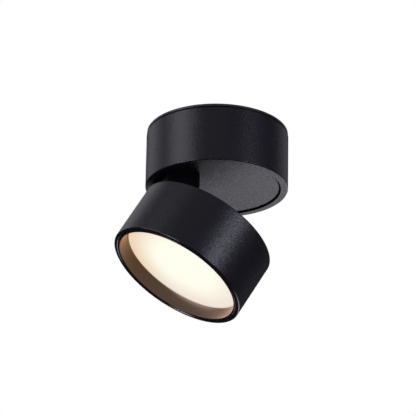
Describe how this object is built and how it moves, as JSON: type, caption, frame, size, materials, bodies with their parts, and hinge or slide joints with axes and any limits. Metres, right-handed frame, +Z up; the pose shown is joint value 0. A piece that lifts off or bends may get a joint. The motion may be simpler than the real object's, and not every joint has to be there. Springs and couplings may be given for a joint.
{
  "type": "surface mounted ceiling spotlight",
  "caption": "Round black ceiling canopy with a turntable in its lower face, carrying a hinged drum lamp head that tilts and swivels around a flush round diffuser.",
  "frame": {"origin": "centre of the face that lies against the ceiling, midway between the two mounting slots", "axes": "+Z up into the ceiling; the tilt hinge is parallel to Y, on the -X side, so the lamp tilts towards -X"},
  "size_m": [0.1206, 0.1, 0.1362],
  "materials": {
    "canopy": "fine-textured black powder coat",
    "head": "fine-textured black powder coat",
    "turntable": "fine-textured black powder coat",
    "hinge": "black powder coat",
    "plate": "black painted steel",
    "trim": "satin black",
    "diffuser": "opal, lit warm white",
    "reflector": "white",
    "heat_sink": "plain cast",
    "pad": "soft grey silicone",
    "led_board": "white solder mask",
    "led": "yellow phosphor",
    "circuit_board": "green solder mask",
    "component": "dark moulded",
    "driver_case": "white moulded",
    "terminal": "ivory moulded",
    "lead_sleeve": "soft insulation",
    "slip_plastic": "plain acetal",
    "rubber": "soft black",
    "screw": "zinc plated"
  },
  "bodies": {
    "canopy": {"mounting_plate": "plate", "cable_grommet": "rubber", "canopy_housing": "canopy", "side_screws": "screw", "stop_pin": "screw", "bearing_ring": "slip_plastic", "swivel_bush": "slip_plastic", "driver_tray": "driver_case", "driver_cover": "driver_case", "driver_board": "circuit_board", "driver_transformer": "component", "driver_capacitors": "component", "driver_screws": "screw", "terminal_block": "terminal", "terminal_screws": "screw", "mains_leads": "lead_sleeve", "output_leads": "lead_sleeve", "earth_lead": "lead_sleeve", "earth_screw": "screw"},
    "turntable": {"turntable_disc": "turntable", "swivel_tube": "screw", "tube_screws": "screw", "friction_washer": "slip_plastic", "disc_spring": "screw", "swivel_nut": "screw", "hinge_block": "hinge", "block_screws": "screw", "swivel_leads": "lead_sleeve"},
    "head": {"head_housing": "head", "hinge_pin": "screw", "hinge_washers": "slip_plastic", "heat_sink": "heat_sink", "heat_sink_screws": "screw", "thermal_pad": "pad", "led_board": "led_board", "led_packages": "led", "board_screws": "screw", "board_connector": "terminal", "reflector": "reflector", "diffuser": "diffuser", "trim_ring": "trim", "head_leads": "lead_sleeve"}
  },
  "joints": [
    {"name": "turntable_swivel", "type": "hinge", "parent": "canopy", "child": "turntable", "pos_m": [0, 0, -0.0413], "axis": [0, 0, 1], "range_deg": [-175, 175]},
    {"name": "head_tilt", "type": "hinge", "parent": "turntable", "child": "head", "pos_m": [-0.0438, 0, -0.0519], "axis": [0, 1, 0], "range_deg": [-30, 60]}
  ]
}
